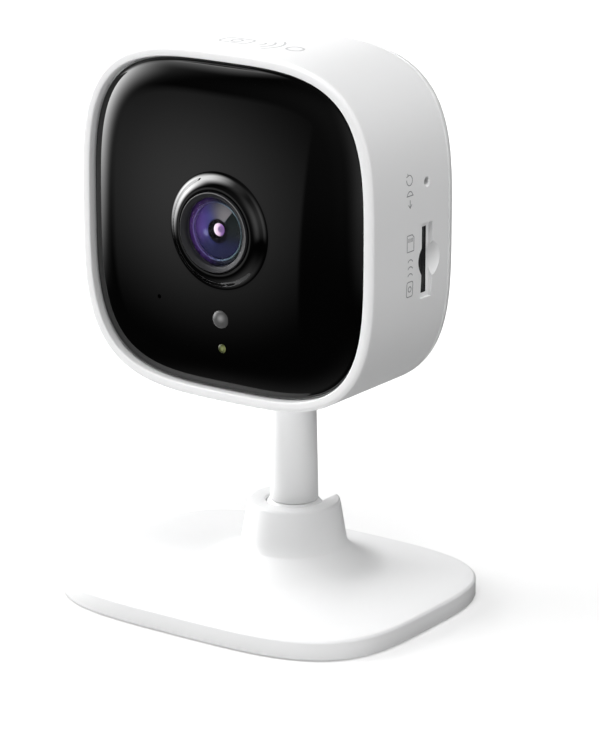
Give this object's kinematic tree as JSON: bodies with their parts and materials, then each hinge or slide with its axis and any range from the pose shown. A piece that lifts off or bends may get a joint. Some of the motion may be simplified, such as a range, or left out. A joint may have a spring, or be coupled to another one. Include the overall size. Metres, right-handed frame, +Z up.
{
  "type": "security camera",
  "caption": "Small indoor security camera: a white rounded-square head with a glossy black front and a raised lens ring, on a tapered post that tilts and pans in a flat notched base.",
  "frame": {"origin": "middle of the base's underside, where it stands on a table", "axes": "+Z up, -Y the direction the lens looks, +X the side with the card slot"},
  "size_m": [0.0676, 0.0548, 0.0989],
  "materials": {
    "white_shell": "fine satin moulded",
    "grey_plastic": "satin",
    "black_plastic": "matte",
    "panel_gloss": "high gloss",
    "lens_ring_black": "satin black",
    "lens_glass": "coated",
    "pad_rubber": "matte",
    "steel": "plain",
    "aluminium": "plain",
    "brass": "plain",
    "board_green": "solder mask",
    "chip_plastic": "matte",
    "light_window_grey": "translucent grey",
    "status_light": "translucent",
    "card_black": "satin",
    "button_plastic": "satin"
  },
  "bodies": {
    "base": {"base_shell": "white_shell", "ball_cup": "black_plastic", "cup_spring": "steel", "weight_plate": "steel", "bottom_cover": "grey_plastic", "base_screws": "steel", "foot_pad": "pad_rubber"},
    "pivot": {"pivot_ball": "white_shell", "pan_washer": "grey_plastic", "pan_spring": "steel", "pan_screw": "steel"},
    "head": {"stand_post": "white_shell", "post_retainer": "steel", "retainer_screws": "steel", "head_shell": "white_shell", "rear_cover": "white_shell", "rear_screws": "steel", "front_panel": "panel_gloss", "lens_ring": "lens_ring_black", "front_lens": "lens_glass", "lens_barrel": "lens_ring_black", "aperture_ring": "black_plastic", "inner_lenses": "lens_glass", "lens_holder": "black_plastic", "filter_coil": "brass", "image_sensor": "chip_plastic", "light_window": "light_window_grey", "status_light_pipe": "status_light", "front_board": "board_green", "infrared_leds": "chip_plastic", "sensor_chips": "chip_plastic", "microphone": "brass", "microphone_boot": "pad_rubber", "panel_screws": "steel", "board_standoffs": "brass", "board_screws": "steel", "main_board": "board_green", "soc_shield": "steel", "heat_spreader": "aluminium", "board_connectors": "chip_plastic", "flex_cable": "chip_plastic", "antenna_strip": "brass", "speaker": "black_plastic", "speaker_gasket": "pad_rubber", "dc_jack": "black_plastic", "dc_pin": "brass", "card_socket": "steel", "reset_switch": "steel"},
    "infrared_filter": {"filter_frame": "black_plastic", "day_filter": "lens_glass", "night_window": "lens_glass"},
    "memory_card": {"memory_card": "card_black"},
    "reset_button": {"reset_plunger": "button_plastic"}
  },
  "joints": [
    {"name": "post_tilt", "type": "hinge", "parent": "base", "child": "pivot", "pos_m": [0, 0.0076, 0.0105], "axis": [-1, 0, 0], "range_deg": [-8, 90]},
    {"name": "head_pan", "type": "hinge", "parent": "pivot", "child": "head", "pos_m": [0, 0.0076, 0.0105], "axis": [0, 0, 1], "continuous": true},
    {"name": "card_slide", "type": "slide", "parent": "head", "child": "memory_card", "axis": [1, 0, 0], "range_m": [0, 0.016]},
    {"name": "reset_press", "type": "slide", "parent": "head", "child": "reset_button", "axis": [-1, 0, 0], "range_m": [0, 0.0003], "stiffness_N_per_m": 800},
    {"name": "filter_shift", "type": "slide", "parent": "head", "child": "infrared_filter", "axis": [1, 0, 0], "range_m": [0, 0.0065]}
  ]
}
